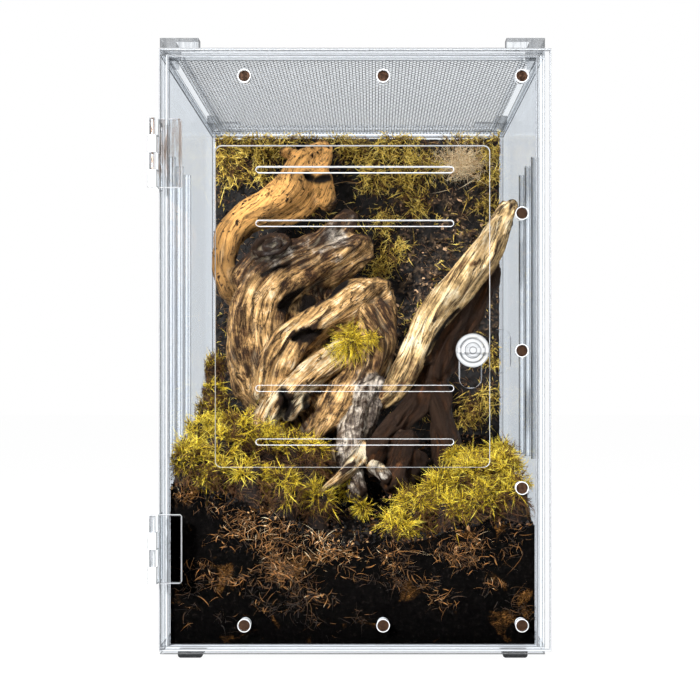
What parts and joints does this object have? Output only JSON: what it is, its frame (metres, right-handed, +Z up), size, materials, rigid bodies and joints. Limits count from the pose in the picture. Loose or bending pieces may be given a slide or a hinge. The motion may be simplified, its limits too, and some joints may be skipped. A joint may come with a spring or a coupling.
{
  "type": "reptile terrarium",
  "caption": "Tall clear panel case with a hinged magnetic front door, a turning latch, a lift-off mesh lid and a planted inside of soil, moss and driftwood",
  "frame": {"origin": "on the surface that the feet stand on, under the middle of the whole outline", "axes": "+Z up, -Y towards the viewer in front of the door, +X to the viewer's right"},
  "size_m": [0.2078, 0.2106, 0.3237],
  "materials": {
    "clear_panel": "clear acrylic sheet, polished edges",
    "clear_fitting": "clear acrylic blocks, glued on",
    "hinge_plastic": "clear moulded plastic",
    "knob_plastic": "clear moulded plastic",
    "white_nylon": "white nylon",
    "magnet": "dark brown coating",
    "bright_steel": "bright",
    "steel_mesh": "fine woven wire",
    "bark": "rough bark, dry",
    "soil": "loose dark soil with fibres",
    "driftwood": "weathered, grained",
    "pale_driftwood": "pale, split grain",
    "moss": "loose yellow-green fronds"
  },
  "bodies": {
    "case": {"base_panel": "clear_panel", "left_wall": "clear_panel", "right_wall": "clear_panel", "back_wall": "clear_panel", "front_frame": "clear_panel", "frame_magnets": "magnet", "strike_plate": "clear_fitting", "feet": "clear_fitting", "upper_hinge_side_leaf": "hinge_plastic", "lower_hinge_side_leaf": "hinge_plastic", "upper_hinge_pin": "bright_steel", "lower_hinge_pin": "bright_steel", "backdrop_panel": "bark", "substrate": "soil", "driftwood_trunk": "driftwood", "driftwood_branch": "pale_driftwood", "moss_left_mound": "moss", "moss_right_mound": "moss", "moss_backdrop": "moss", "moss_tufts": "moss"},
    "door": {"door_panel": "clear_panel", "door_magnets": "magnet", "upper_hinge_door_leaf": "hinge_plastic", "lower_hinge_door_leaf": "hinge_plastic"},
    "latch": {"latch_knob": "knob_plastic", "latch_spindle": "knob_plastic", "latch_bush": "white_nylon", "latch_tab": "clear_fitting", "latch_screw": "bright_steel"},
    "lid": {"lid_panel": "clear_panel", "lid_mesh": "steel_mesh", "stacking_corners": "clear_fitting", "lid_locators": "clear_fitting"}
  },
  "joints": [
    {"name": "door_hinge", "type": "hinge", "parent": "case", "child": "door", "pos_m": [-0.1011, -0.1014, 0.1606], "axis": [0, 0, -1], "range_deg": [0, 260]},
    {"name": "latch_turn", "type": "hinge", "parent": "door", "child": "latch", "pos_m": [0.0631, -0.097, 0.16115], "axis": [0, -1, 0], "range_deg": [0, 90]},
    {"name": "lid_lift", "type": "slide", "parent": "case", "child": "lid", "axis": [0, 0, 1], "range_m": [0, 0.06]}
  ]
}
